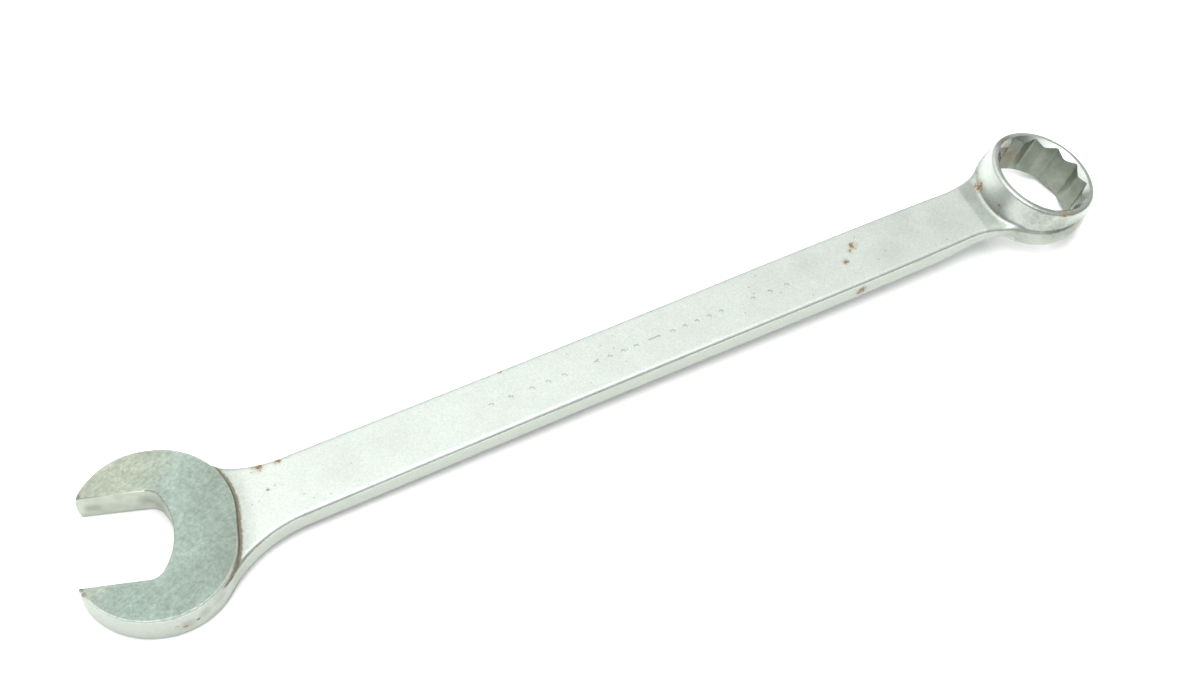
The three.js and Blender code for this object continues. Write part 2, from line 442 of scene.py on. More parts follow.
def mouth_gap():
    """The gap between the jaws, which flares where it meets the ground faces."""
    half = half_of("across_flats")
    centre_u, corner_u, corner_v = throat_centres()
    turn = atan2(corner_v, corner_u - centre_u)
    face = half_of("head_thickness")
    levels = []
    inner, outer = face - MOUTH_CHAMFER, face + PAST_HEAD
    for z in (-outer, -inner, inner, outer):
        wider = max(0, abs(z) - inner)
        corner = THROAT_CORNER + wider
        outline = [(-FAR, half + wider), (-FAR, -half - wider)]
        outline += arc((corner_u, -corner_v), corner, -pi / 2, -turn, CORNER_STEPS)
        outline += arc((centre_u, 0), THROAT_RADIUS + wider, -turn, turn, THROAT_STEPS)[1:-1]
        outline += arc((corner_u, corner_v), corner, turn, pi / 2, CORNER_STEPS)
        levels.append([(*from_mouth(u, v), z) for u, v in outline])
    return prism(levels)


def softened(corners, cut, steps=3):
    """An outline whose corners are rounded off, each within `cut` of where it was."""
    points = [Vector(corner) for corner in corners]
    rounded = []
    for before, corner, after in zip(points[-1:] + points, points, points[1:] + points[:1]):
        start = corner + (before - corner).normalized() * cut
        end = corner + (after - corner).normalized() * cut
        for share in np.linspace(0, 1, steps + 1):
            rounded.append(start.lerp(corner, share).lerp(corner.lerp(end, share), share))
    return rounded


def about_ring(rings):
    """Rings of (x, y) at depths below the upper rim, deepest first, put in the ring's place."""
    tilt = Matrix.Rotation(wrench_sizes().ring_tilt, 4, "Y")
    place = Matrix.Translation((RIM_X, 0, RIM_Z)) @ tilt
    levels = []
    for ring, depth in rings:
        levels.append([tuple(place @ Vector((x, y, -depth))) for x, y in ring])
    return prism(levels)


def bore():
    """The box end's hole, whose points and crests alternate."""
    crest = half_of("across_flats") / cos(pi / BORE_POINTS)
    corners = []
    for i in range(2 * BORE_POINTS):
        radius = crest if i % 2 else POINT_RADIUS
        angle = POINT_TURN + i * pi / BORE_POINTS
        corners.append((radius * cos(angle), radius * sin(angle)))
    outline = softened(corners, POINT_ROUND)
    return about_ring([(outline, RING_DEPTH + PAST_RING), (outline, -PAST_RING)])


def lead_ins():
    """The cones that lead into the bore from both rims."""
    inner, outer = (LEAD_IN_RADIUS + grow for grow in (-LEAD_IN_DEPTH, LEAD_IN_DEPTH))
    small, large = (arc((0, 0), r, 0, 2 * pi, LEAD_IN_STEPS)[:-1] for r in (inner, outer))
    upper = about_ring([(small, LEAD_IN_DEPTH), (large, -LEAD_IN_DEPTH)])
    lower = about_ring([(large, RING_DEPTH + LEAD_IN_DEPTH), (small, RING_DEPTH - LEAD_IN_DEPTH)])
    return together([upper, lower])


def stamps():
    """Every stroke that is stamped in the shank's upper face: the dash and the dots."""
    (start, end), half = DASH_X, DASH_WIDTH / 2
    strokes = [[(start, -half), (end, -half), (end, half), (start, half)]]
    for start, end, count in DOT_ROWS:
        for x in np.linspace(start, end, count):
            strokes.append(arc((x, DOT_Y), DOT_RADIUS, 0, 2 * pi, DOT_SIDES)[:-1])
    face = half_of("shank_thickness")
    low, high = face - STAMP_DEPTH, face + PAST_SHANK
    return together([flat_prism(stroke, low, high) for stroke in strokes])


def build_forging():
    """The whole forging as one solid, ground and cut."""
    points, faces = skin(SKIN_STEP)
    forging = linked("forging", mesh_of("forging", settled(points, SKIN_STEP), faces.tolist()))
    face = half_of("head_thickness")
    for low, high in ((face, FAR), (-FAR, -face)):
        carved(forging, *block((-FAR, -FAR, low), (GRIND_X, FAR, high)))
    for cutter in (mouth_gap(), bore(), lead_ins(), stamps()):
        carved(forging, *cutter)
    return forging


# ---- Lying on the floor ----


def vectors_of(items, name):
    """One vector of each vertex or face, as the rows of an array."""
    values = np.empty(3 * len(items))
    items.foreach_get(name, values)
    return values.reshape(-1, 3)


def wrench_place(forging):
    """Where the wrench lies in the CAD's frame, in metres, on its jaws and the ring's low edge."""
    points = vectors_of(forging.data.vertices, "co")
    pitch = radians(1)  # near enough to find the feet the first time
    for _ in range(2):
        height = points[:, 0] * sin(pitch) + points[:, 2] * cos(pitch)
        middle = points[:, 0].mean()
        feet = []
        for end in (points[:, 0] < middle, points[:, 0] >= middle):
            feet.append(points[end][np.argmin(height[end])])
        pitch = atan2(feet[0][2] - feet[1][2], feet[1][0] - feet[0][0])
    turn = Matrix.Rotation(-pitch, 4, "Y")
    laid = points @ np.array(turn.to_3x3()).T
    low, high = laid.min(0), laid.max(0)
    middle = [(CAD_BOX[0][i] + CAD_BOX[1][i] - low[i] - high[i]) / 2 for i in (0, 1)]
    return Matrix.Translation((*middle, CAD_BOX[0].z - low[2])) @ turn


def stored_place():
    """The place that the forging's operator worked out."""
    return Matrix([list(row) for row in bpy.context.scene["wrench_place"]])


# ---- Regions ----


def dirt_and_shade_near(distance, layers):
    """The thickest of several layers of corner dirt and painted shade, each given as how much and
    how far it reaches.
    """
    return np.max([much * (1 - distance / reach) for much, reach in layers], axis=0)


def shaded_crevice_depth(x, y, z):
    """0 to 1: how far into a corner a point of the surface lies, where dirt stays and shade is
    painted.
    """
    shank = shank_blank(x, y, z)
    wall = np.maximum(head_blank(x, y, z), shank_outline(x, y) - STEP_FILLET)
    head = dirt_and_shade_near(np.maximum(shank, wall), HEAD_DIRT_AND_SHADE) * np.interp(np.abs(z), HEAD_DIRT_AND_SHADE_Z, (0, 1))
    ring = dirt_and_shade_near(np.maximum(shank, ring_blank(x, y, z)), RING_DIRT_AND_SHADE)
    return np.clip(np.maximum(head, ring), 0, 1)


def trimmed_share(x, y, z):
    """1 on the walls that were left when the flash was trimmed, and 0 on the faces."""
    ring = np.hypot(x - BAND_X, y) - BAND_RADIUS
    past = np.minimum(np.minimum(shank_plan(x, y), head_wall(x, y, z)), ring)
    return (past > -TRIMMED / 2).astype(float)


def sharpen_borders(mesh, finishes):
    """Makes every edge between two finishes sharp. finishes has a number for each face."""
    edges, lengths = np.empty(len(mesh.loops), int), np.empty(len(mesh.polygons), int)
    mesh.loops.foreach_get("edge_index", edges)
    mesh.polygons.foreach_get("loop_total", lengths)
    beside = np.repeat(finishes, lengths)
    low, high = np.full(len(mesh.edges), np.inf), np.zeros(len(mesh.edges))
    np.minimum.at(low, edges, beside)
    np.maximum.at(high, edges, beside)
    sharp = np.empty(len(mesh.edges), bool)
    mesh.edges.foreach_get("use_edge_sharp", sharp)
    mesh.edges.foreach_set("use_edge_sharp", sharp | (low < high))


def finished_region(node, outline, finish_of):
    """Cuts one region out of the forging, finishes it and puts it in its place.

    outline is the region's part of the plan. finish_of(centres, normals, blank) gives the
    region's looks, and the number of each face's look.
    """
    forging = bpy.data.objects["forging"]
    piece = linked(f"{node}_forged", forging.data.copy())
    carved(piece, *flat_prism(outline, -FAR, FAR), "INTERSECT")
    mesh = piece.data
    mesh.name = piece.name
    centres, normals = vectors_of(mesh.polygons, "center") / MM, vectors_of(mesh.polygons, "normal")
    looks, indices = finish_of(centres, normals, forging_blank(*centres.T))
    mesh.materials.clear()
    for look in looks:
        mesh.materials.append(material_of(look))
    mesh.polygons.foreach_set("material_index", indices.astype(np.int32))
    mesh.shade_smooth()
    mesh.set_sharp_from_angle(angle=SHARP_ANGLE)
    sharpen_borders(mesh, indices)
    places = vectors_of(mesh.vertices, "co").T / MM
    # The first share darkens the corners in the materials, as painted shade and dirt.
    for name, share in (("shaded_crevice", shaded_crevice_depth), ("trimmed", trimmed_share)):
        stored_share = mesh.attributes.new(name, "FLOAT", "POINT")
        stored_share.data.foreach_set("value", share(*places))
    mesh.transform(stored_place())
    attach(piece, BODY)
    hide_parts(node)
    return piece


def head_finish(centres, normals, blank):
    """Ground faces, the mouth's cut flats, and plate on the rest."""
    face = half_of("head_thickness")
    level = np.abs(centres[:, 2]) > face - GROUND_CUT
    ground = level & (np.abs(normals[:, 2]) > FLAT_FACING)
    mouth = ~ground & (blank < -MOUTH_CUT)
    looks = (plated_skin, ground_steel, milled_mouth)
    return looks, np.where(ground, 1, np.where(mouth, 2, 0))


def plain_finish(centres, normals, blank):
    return (plated_skin,), np.zeros(len(centres))


def ring_finish(centres, normals, blank):
    """Plate outside, bare walls in the bore, and the turned cones that lead into it."""
    tilt = wrench_sizes().ring_tilt
    along = np.abs(normals @ np.array((sin(tilt), 0, cos(tilt))))
    cut = blank < -BORE_CUT
    looks = (plated_skin, broached_bore, turned_lead_in)
    wall, cone = cut & (along < WALL_FACING), cut & (along < CONE_FACING)
    return looks, np.where(wall, 1, np.where(cone, 2, 0))


# ---- Nodes ----


def feed(tree, socket, value):
    """Links another node's output to a socket, or gives it a value."""
    if isinstance(value, bpy.types.NodeSocket):
        tree.links.new(value, socket)
    else:
        socket.default_value = value


def node(tree, kind, inputs=None, **settings):
    """A new node, with its settings, and each input either linked or given its value."""
    made = tree.nodes.new(kind)
    for name, value in settings.items():
        setattr(made, name, value)
    for key, value in (inputs or {}).items():
        feed(tree, made.inputs[key], value)
    return made


def maths(tree, operation, *values):
    return node(tree, "ShaderNodeMath", dict(enumerate(values)), operation=operation).outputs[0]


def ranged(tree, value, low, high, to_low=0.0, to_high=1.0):
    """The value, eased from one range to another."""
    ends = {"From Min": low, "From Max": high, "To Min": to_low, "To Max": to_high}
    inputs = {"Value": value, **ends}
    return node(tree, "ShaderNodeMapRange", inputs, interpolation_type="SMOOTHSTEP").outputs[0]


def blended(tree, share, first, second):
    """Two colours, blended by a share."""
    made = node(tree, "ShaderNodeMix", {"Factor": share}, data_type="RGBA")
    colours = [socket for socket in made.inputs if socket.type == "RGBA"]
    feed(tree, colours[0], first)
    feed(tree, colours[1], second)
    return next(socket for socket in made.outputs if socket.type == "RGBA")


def scaled(tree, colour, value):
    """A colour, made lighter or darker by a value."""
    inputs = {0: colour, "Scale": value}
    return node(tree, "ShaderNodeVectorMath", inputs, operation="SCALE").outputs[0]


def distance_to(tree, place, centre):
    inputs = {0: place, 1: centre}
    return node(tree, "ShaderNodeVectorMath", inputs, operation="DISTANCE").outputs["Value"]


def turned(tree, place, angle):
    """The place, turned in the plane of the wrench."""
    inputs = {"Vector": place, "Angle": angle}
    return node(tree, "ShaderNodeVectorRotate", inputs, rotation_type="Z_AXIS").outputs[0]


def noise(tree, place, scale, detail=2.0, roughness=0.5):
    inputs = {"Vector": place, "Scale": scale, "Detail": detail, "Roughness": roughness}
    return node(tree, "ShaderNodeTexNoise", inputs).outputs["Fac"]


def stored(tree, name):
    """A share that is stored on the mesh's points."""
    return node(tree, "ShaderNodeAttribute", attribute_name=name).outputs["Fac"]


SOCKETS = {"VALUE": "NodeSocketFloat", "VECTOR": "NodeSocketVector", "RGBA": "NodeSocketColor"}


def new_group(make, names):
    """A node group with these inputs. make(tree, inputs) gives its outputs by their names."""
    tree = bpy.data.node_groups.new(make.__name__, "ShaderNodeTree")
    for name in names:
        kind = SOCKETS["VECTOR" if name == "Place" else "VALUE"]
        tree.interface.new_socket(name, in_out="INPUT", socket_type=kind)
    made = make(tree, tree.nodes.new("NodeGroupInput").outputs)
    for name, socket in made.items():
        tree.interface.new_socket(name, in_out="OUTPUT", socket_type=SOCKETS[socket.type])
    ends = tree.nodes.new("NodeGroupOutput").inputs
    for name, socket in made.items():
        tree.links.new(socket, ends[name])
    return tree


def grouped(tree, make, **inputs):
    """The outputs of a node group, which is made the first time it is asked for."""
    group = bpy.data.node_groups.get(make.__name__) or new_group(make, inputs)
    return node(tree, "ShaderNodeGroup", inputs, node_tree=group).outputs


# ---- Effects that the materials share. Each gives only masks, values and colours. ----


def wrench_axes(tree, inputs):
    """Place on the wrench in its own axes, in millimetres."""
    back = stored_place().inverted()
    mapping = {
        "Vector": node(tree, "ShaderNodeTexCoord").outputs["Object"],
        "Location": back.translation / MM,
        "Rotation": back.to_euler(),
        "Scale": (1 / MM,) * 3,
    }
    return {"Place": node(tree, "ShaderNodeMapping", mapping).outputs[0]}


def fine_grain(tree, inputs):
    """Matt grain, slow clouding and scattered pits. Grain and Cloud are their sizes in mm."""
    place = inputs["Place"]
    grain_scale = maths(tree, "DIVIDE", 1.0, inputs["Grain"])
    cloud_scale = maths(tree, "DIVIDE", 1.0, inputs["Cloud"])
    cells = node(tree, "ShaderNodeTexVoronoi", {"Vector": place, "Scale": 0.42})
    pits = ranged(tree, cells.outputs["Distance"], 0.13, 0.04, 0.0, 0.6)
    limit = maths(tree, "SUBTRACT", 1.0, inputs["Pitting"])
    pitted = maths(tree, "GREATER_THAN", noise(tree, place, 0.07, 3), limit)
    return {
        "Height": noise(tree, place, grain_scale, 3, 0.6),
        "Tone": noise(tree, place, cloud_scale, 4, 0.65),
        "Pits": maths(tree, "MULTIPLY", pits, pitted),
    }


def scratches(tree, inputs):
    """Straight streaks and hairline scratches at a turn from the shank, in mm."""
    place = turned(tree, inputs["Place"], inputs["Turn"])
    along = maths(tree, "DIVIDE", 1.0, inputs["Length"])
    across = maths(tree, "DIVIDE", 1.0, inputs["Spacing"])
    stretch = node(tree, "ShaderNodeCombineXYZ", {"X": along, "Y": across, "Z": across})
    stretched = {0: place, 1: stretch.outputs[0]}
    drawn = node(tree, "ShaderNodeVectorMath", stretched, operation="MULTIPLY").outputs[0]
    fine = noise(tree, drawn, 1.0, 3, 0.6)
    level = maths(tree, "ABSOLUTE", maths(tree, "SUBTRACT", fine, 0.5))
    hairs = ranged(tree, level, 0.02, 0.0)
    broken = ranged(tree, noise(tree, place, 0.25, 2), 0.48, 0.62)
    return {"Streaks": fine, "Lines": maths(tree, "MULTIPLY", hairs, broken)}


# Where rust has broken through: x, y, z and radius in millimetres.
RUST = (
    (26.2, 9.2, 4.1, 1.1), (31.6, 8.5, 4.1, 0.7), (26.3, 1.6, 4.1, 0.35), (15.6, -15.0, 4.0, 0.6),
    (97.2, 8.7, 4.0, 0.5), (208.3, 3.5, 4.1, 0.9), (206.6, 2.2, 4.1, 0.5), (203.6, -0.5, 4.1, 0.7),
    (204.4, -9.0, 0.6, 1.1), (253.6, 5.8, 4.0, 1.2), (254.1, -3.9, 6.3, 0.55),
    (253.2, -4.6, 4.6, 0.4), (266.5, 12.6, 7.2, 1.3), (268.6, 13.1, 3.4, 1.2),
    (267.6, 13.2, 6.0, 1.0), (271.6, -14.6, 7.4, 1.1), (268.8, -15.1, 8.7, 0.9),
    (-3.0, 10.1, 5.1, 0.4), (-3.2, -23.2, 0.0, 0.4), (-6.7, -23.4, -0.6, 0.5),
    (-9.0, -23.5, 0.8, 0.35),
)
STAIN_SPREAD = 2.4  # how far a stain spreads, for a spot of radius 1


def rust_spots(tree, inputs):
    """Rust at its own places: a ragged core, and the stain that spreads round it."""
    place, finish = inputs["Place"], bpy.context.scene.wrench_finish
    deepest = 0.0
    for *centre, radius in RUST:
        gap = distance_to(tree, place, centre)
        near = maths(tree, "SUBTRACT", 1.0, maths(tree, "DIVIDE", gap, radius * STAIN_SPREAD))
        deepest = maths(tree, "MAXIMUM", deepest, near)
    ragged = ranged(tree, noise(tree, place, 1.1, 4, 0.7), 0.3, 0.68)
    level = maths(tree, "MULTIPLY", deepest, ragged)
    spread = maths(tree, "MULTIPLY_ADD", ragged, 0.3, deepest)
    depth = ranged(tree, noise(tree, place, 2.4, 2), 0.35, 0.65)
    return {
        "Mask": ranged(tree, level, 0.2, 0.48, 0.0, 0.92),
        "Stain": ranged(tree, spread, 0.1, 0.9, 0.0, 0.55),
        "Colour": blended(tree, depth, finish.rust_colour, finish.grime_and_shade_colour),
    }


# Thin films of dirt, and of painted shade on the near side of the ring: x, y, z and radius in
# millimetres, and how dark.
DIRT_AND_SHADE_FILMS = (
    # The first three are painted shade on the near side of the ring's wall.
    (262, -13, 7.5, 9, 0.6), (267, -16, 4, 8, 0.7), (272, -17, 2, 7, 0.6), (251, -4, 4, 6, 0.2),
    (250, 4, 4, 6, 0.25), (266.5, 12.6, 7.5, 6.5, 1.0), (271, 13.5, 0, 6, 0.6),
    (258, 3, 12, 5, 0.2), (-1, -22.9, 1.5, 3, 0.4), (-6, -23.5, 0, 3.5, 0.4),
    (4, -21.5, 2, 4, 0.35), (12, -18.5, 0, 7, 0.25), (-17, 18.7, -0.5, 3.2, 0.5),
    (-3.1, 14.4, 0, 4, 0.45), (-0.6, 12.4, -1.5, 3.5, 0.4), (-19.6, 20.4, 5.3, 1.3, 0.95),
    (-27.7, -5.4, 5.3, 1.3, 0.95), (-27.3, -7, 5.2, 1, 0.95), (217, -3, 4, 7, 0.12),
    (226, 4, 4, 8, 0.12), (238, 0, 4, 9, 0.14),
    (192, 5, 4, 6, 0.1), (47, 1, 4, 9, 0.07), (62, 3, 4, 8, 0.05),
)
FILM_CORE = 0.2  # the share of a film's radius that is fully dark


def dirt_and_shade_film(tree, inputs):
    """Thin dirt and painted shade at its own places and near the corners, uneven and soft at its
    edges.
    """
    darkest = 0.0
    for *centre, radius, dark in DIRT_AND_SHADE_FILMS:
        gap = distance_to(tree, inputs["Place"], centre)
        film = ranged(tree, gap, radius, FILM_CORE * radius, 0.0, dark)
        darkest = maths(tree, "MAXIMUM", darkest, film)
    # Painted shade and dirt in the corners, from the stored corner depth.
    corner = ranged(tree, stored(tree, "shaded_crevice"), 0.0, 0.4, 0.0, 0.4)
    darkest = maths(tree, "MAXIMUM", darkest, corner)
    uneven = ranged(tree, noise(tree, inputs["Place"], 0.8, 4, 0.65), 0.3, 0.7, 0.55, 1.0)
    return {"Share": maths(tree, "MULTIPLY", darkest, uneven)}


# Where the painted highlight along the head's edge runs:
PAINTED_HIGHLIGHT_LINE = 0.75  # how far inside the jaws' outline it runs, in millimetres


def painted_highlight_edge(tree, inputs):
    """A painted highlight along the head's outline where its ground faces end, strongest on the
    near side where the bevel catches the light.
    """
    sizes = wrench_sizes()
    apart = turned(tree, inputs["Place"], sizes.mouth_angle)
    apart = node(tree, "ShaderNodeSeparateXYZ", {0: apart}).outputs
    right = maths(tree, "MAXIMUM", maths(tree, "SUBTRACT", apart["X"], LOBE_U), 0.0)
    left = maths(tree, "MINIMUM", maths(tree, "SUBTRACT", apart["X"], LOBE_U - LOBE_REACH), 0.0)
    along = maths(tree, "ADD", right, left)
    across = maths(tree, "SUBTRACT", maths(tree, "ABSOLUTE", apart["Y"]), LOBE_V)
    across = maths(tree, "MAXIMUM", across, 0.0)
    square = maths(tree, "MULTIPLY_ADD", along, along, maths(tree, "MULTIPLY", across, across))
    radius = in_mm(sizes.lobe_radius) - PAINTED_HIGHLIGHT_LINE
    past = maths(tree, "SUBTRACT", maths(tree, "SQRT", square), radius)
    line = ranged(tree, maths(tree, "ABSOLUTE", past), 0.36, 0.06)
    # The painted highlight is strongest towards the near side.
    line = maths(tree, "MULTIPLY", line, ranged(tree, apart["Y"], -2.0, -15.0, 0.1, 0.75))
    broken = ranged(tree, noise(tree, inputs["Place"], 0.7, 4, 0.7), 0.38, 0.6, 0.3, 1.0)
    return {"Mask": maths(tree, "MULTIPLY", line, broken)}


def grime_and_shade(tree, inputs):
    """Dirt and painted shade in corners, which reads the corner depth stored on the mesh."""
    uneven = ranged(tree, noise(tree, inputs["Place"], 0.9, 3, 0.6), 0.1, 0.7, 0.7, 1.3)
    level = maths(tree, "MULTIPLY", stored(tree, "shaded_crevice"), uneven)
    return {"Mask": ranged(tree, level, 0.42, 0.8)}


# ---- Materials ----


def blank_material(name):
    """A new material with only a Principled shader, its tree and the shader."""
    material = bpy.data.materials.new(name)
    material.use_nodes = True
    return material, material.node_tree, material.node_tree.nodes["Principled BSDF"]


def material_of(look):
    """The material that has a look's name, made the first time it is asked for.

    look(tree, place, finish, rust) is given where the rust is. It gives the colour beneath the
    rust, what isn't metal, the roughness, the bump, and how high the bump is in millimetres.
    """
    material = bpy.data.materials.get(look.__name__)
    if material:
        return material
    material, tree, shader = blank_material(look.__name__)
    place = grouped(tree, wrench_axes)["Place"]
    finish = bpy.context.scene.wrench_finish
    rust = grouped(tree, rust_spots, Place=place)
    colour, bare, roughness, height, relief = look(tree, place, finish, rust["Mask"])
    colour = blended(tree, rust["Stain"], colour, finish.stain_colour)
    colour = blended(tree, rust["Mask"], colour, rust["Colour"])
    metallic = maths(tree, "SUBTRACT", 1.0, bare)
    bump = node(tree, "ShaderNodeBump", {"Height": height, "Distance": relief * MM}).outputs[0]
    sockets = ("Base Color", "Metallic", "Roughness", "Normal")
    for name, value in zip(sockets, (colour, metallic, roughness, bump)):
        tree.links.new(value, shader.inputs[name])
    return material


def darker(colour, by):
    return (*(channel * by for channel in colour[:3]), 1)


def filmed_and_shaded(tree, place, colour, film):
    """A colour under the films of dirt and painted shade."""
    return blended(tree, grouped(tree, dirt_and_shade_film, Place=place)["Share"], colour, film)


def plated_skin(tree, place, finish, rust):
    """Satin plate over the forged skin: fine grain, pits, a matt trimmed band, dirt and painted
    shade, and rust.
    """
    plate = finish.plate_colour
    grain = grouped(tree, fine_grain, Place=place, Grain=0.7, Cloud=9.0, Pitting=0.5)
    marks = grouped(tree, scratches, Place=place, Turn=radians(35), Length=9.0, Spacing=0.5)
    dirt_and_shade = grouped(tree, grime_and_shade, Place=place)["Mask"]
    trimmed = stored(tree, "trimmed")
    colour = blended(tree, ranged(tree, grain["Tone"], 0.3, 0.7), darker(plate, 0.94), plate)
    colour = blended(tree, maths(tree, "MULTIPLY", trimmed, 0.9), colour, finish.trimmed_colour)
    speckle = ranged(tree, grain["Height"], 0.35, 0.7, 0.0, 0.24)
    colour = blended(tree, speckle, colour, darker(plate, 0.55))
    colour = blended(tree, grain["Pits"], colour, darker(plate, 0.25))
    colour = filmed_and_shaded(tree, place, colour, finish.film_and_shade_colour)
    # Painted shade and dirt in the corners: dark, and not metal.
    colour = blended(tree, maths(tree, "MULTIPLY", dirt_and_shade, 0.92), colour, finish.grime_and_shade_colour)
    rough = maths(tree, "MULTIPLY_ADD", grain["Tone"], 0.12, finish.plate_roughness - 0.06)
    rough = maths(tree, "MULTIPLY_ADD", rust, 0.35, rough)
    rough = maths(tree, "MULTIPLY_ADD", trimmed, 0.08, rough)
    height = maths(tree, "MULTIPLY_ADD", grain["Pits"], -2.0, grain["Height"])
    height = maths(tree, "MULTIPLY_ADD", marks["Lines"], -0.35, height)
    height = maths(tree, "MULTIPLY_ADD", rust, 1.4, height)
    return colour, maths(tree, "MAXIMUM", rust, dirt_and_shade), rough, height, 0.03


def ground_steel(tree, place, finish, rust):
    """Ground steel: cool and darker, with fine scratches that cross at several angles."""
    grain = grouped(tree, fine_grain, Place=place, Grain=0.5, Cloud=6.0, Pitting=0.4)
    streaks = grouped(tree, scratches, Place=place, Turn=radians(-17), Length=14.0, Spacing=0.3)
    lines = streaks["Lines"]
    for turn in (-65, -38, 12, 48):
        more = grouped(tree, scratches, Place=place, Turn=radians(turn), Length=9.0, Spacing=0.7)
        lines = maths(tree, "MAXIMUM", lines, more["Lines"])
    apart = node(tree, "ShaderNodeSeparateXYZ", {0: place}).outputs
    drift = maths(tree, "SUBTRACT", apart["Y"], apart["X"])
    drift = ranged(tree, maths(tree, "MULTIPLY_ADD", grain["Tone"], 12.0, drift), 12.0, 34.0)
    colour = blended(tree, drift, finish.ground_colour, finish.handled_colour)
    # Painted shade: the ground faces grow darker towards the near side.
    colour = scaled(tree, colour, ranged(tree, apart["Y"], -18.0, 4.0, 0.85, 1.0))
    mottle = noise(tree, place, 0.9, 4, 0.7)
    patterns = ((grain["Tone"], 0.6), (mottle, 0.9), (streaks["Streaks"], 0.5), (lines, 0.25))
    for pattern, reach in patterns:
        shade = maths(tree, "MULTIPLY_ADD", pattern, reach, 1 - reach / 2)
        colour = scaled(tree, colour, shade)
    colour = blended(tree, grain["Pits"], colour, darker(finish.ground_colour, 0.3))
    # Painted highlight along the outline of the ground faces.
    painted_highlight = grouped(tree, painted_highlight_edge, Place=place)["Mask"]
    colour = blended(tree, painted_highlight, colour, finish.plate_colour)
    colour = filmed_and_shaded(tree, place, colour, finish.film_and_shade_colour)
    rough = maths(tree, "MULTIPLY_ADD", grain["Tone"], 0.1, finish.ground_roughness - 0.05)
    rough = maths(tree, "MULTIPLY_ADD", lines, -0.08, rough)
    height = maths(tree, "MULTIPLY_ADD", lines, -0.5, streaks["Streaks"])
    height = maths(tree, "MULTIPLY_ADD", grain["Height"], 0.5, height)
    return colour, rust, rough, height, 0.008


def milled_mouth(tree, place, finish, rust):
    """The mouth's flats and throat: milled across, lightly marked by nuts."""
    mouth = finish.mouth_colour
    grain = grouped(tree, fine_grain, Place=place, Grain=0.4, Cloud=4.0, Pitting=0.55)
    cuts = grouped(tree, scratches, Place=place, Turn=radians(17.2), Length=5.0, Spacing=0.35)
    colour = blended(tree, ranged(tree, grain["Tone"], 0.3, 0.7), darker(mouth, 0.85), mouth)
    colour = blended(tree, grain["Pits"], colour, darker(finish.plate_colour, 0.2))
    colour = filmed_and_shaded(tree, place, colour, finish.film_and_shade_colour)
    rough = maths(tree, "MULTIPLY_ADD", cuts["Streaks"], 0.15, finish.ground_roughness - 0.05)
    height = maths(tree, "MULTIPLY_ADD", grain["Height"], 0.5, cuts["Streaks"])
    return colour, rust, rough, height, 0.025


def broached_bore(tree, place, finish, rust):
    """The bore's walls: dull steel with old grease in the points, and painted shade on the near
    side.
    """
    bore_colour = finish.bore_colour
    grain = grouped(tree, fine_grain, Place=place, Grain=0.45, Cloud=6.0, Pitting=0.55)
    tone = ranged(tree, grain["Tone"], 0.3, 0.72)
    colour = blended(tree, tone, bore_colour, darker(bore_colour, 0.8))
    colour = filmed_and_shaded(tree, place, colour, darker(finish.stain_colour, 0.42))
    rough = maths(tree, "MULTIPLY_ADD", tone, 0.12, 0.34)
    return colour, maths(tree, "MULTIPLY", rust, 0.9), rough, grain["Height"], 0.01


def turned_lead_in(tree, place, finish, rust):
    """The cones that lead into the bore: turned smooth, then plated."""
    plate = finish.plate_colour
    grain = grouped(tree, fine_grain, Place=place, Grain=0.3, Cloud=2.5, Pitting=0.5)
    tone = ranged(tree, grain["Tone"], 0.35, 0.7)
    colour = blended(tree, tone, plate, darker(plate, 0.8))
    return colour, rust, maths(tree, "MULTIPLY_ADD", tone, 0.1, 0.24), grain["Height"], 0.008


# ---- Stage ----


def aimed(name, light, place):
    """A light at a place, facing the middle of the frame."""
    made = linked(name, light)
    made.location = place
    made.rotation_euler = (-Vector(place)).to_track_quat("-Z", "Y").to_euler()
    return made


def softbox(name, place, size, power):
    light = bpy.data.lights.new(name, "AREA")
    light.shape = "SQUARE"
    light.size = size
    light.energy = power
    return aimed(name, light, place)


# Lights, in metres: where each stands and how big it is. Both face the middle of the frame.
SOFTBOX_PLACE, SOFTBOX_SIZE = (-0.08, -0.2, 1.1), 0.5
WASH_PLACE, WASH_SIZE = (0, 0.2, 1.2), 1.4

# The floor, in metres: from its middle to each side, and how thick.
FLOOR_REACH, FLOOR_DEPTH = 6, 0.02

# The camera, in the forging's own axes: millimetres and degrees.
CAMERA_PLACE = (-24.46, -239.61, 473.44)
CAMERA_ELEVATION, CAMERA_AZIMUTH, CAMERA_ROLL = 58.482, -31.698, 5.729
CAMERA_LENS = 59.03


def camera():
    data = bpy.data.cameras.new("camera")
    data.lens = CAMERA_LENS
    data.clip_start = 0.01
    made = linked("camera", data)
    turn = Matrix.Rotation(radians(CAMERA_AZIMUTH), 4, "Z")
    turn = turn @ Matrix.Rotation(radians(90 - CAMERA_ELEVATION), 4, "X")
    turn = turn @ Matrix.Rotation(radians(CAMERA_ROLL), 4, "Z")
    made.matrix_world = stored_place() @ Matrix.Translation(Vector(CAMERA_PLACE) * MM) @ turn
    bpy.context.scene.camera = made


def floor():
    reach, depth = in_mm(FLOOR_REACH), in_mm(FLOOR_DEPTH)
    slab = block((-reach, -reach, -depth), (reach, reach, 0))
    plane = linked("floor", mesh_of("floor", *slab))
    material, tree, shader = blank_material("pale_floor")
    place = node(tree, "ShaderNodeTexCoord").outputs["Object"]
    stage = bpy.context.scene.wrench_stage
    tone = noise(tree, place, 30, 3)
    colour = blended(tree, tone, darker(stage.floor_colour, 0.985), stage.floor_colour)
    tree.links.new(colour, shader.inputs["Base Color"])
    shader.inputs["Roughness"].default_value = 0.7
    shader.inputs["Specular IOR Level"].default_value = 0.2
    plane.data.materials.append(material)
    plane.location.z = CAD_BOX[0].z


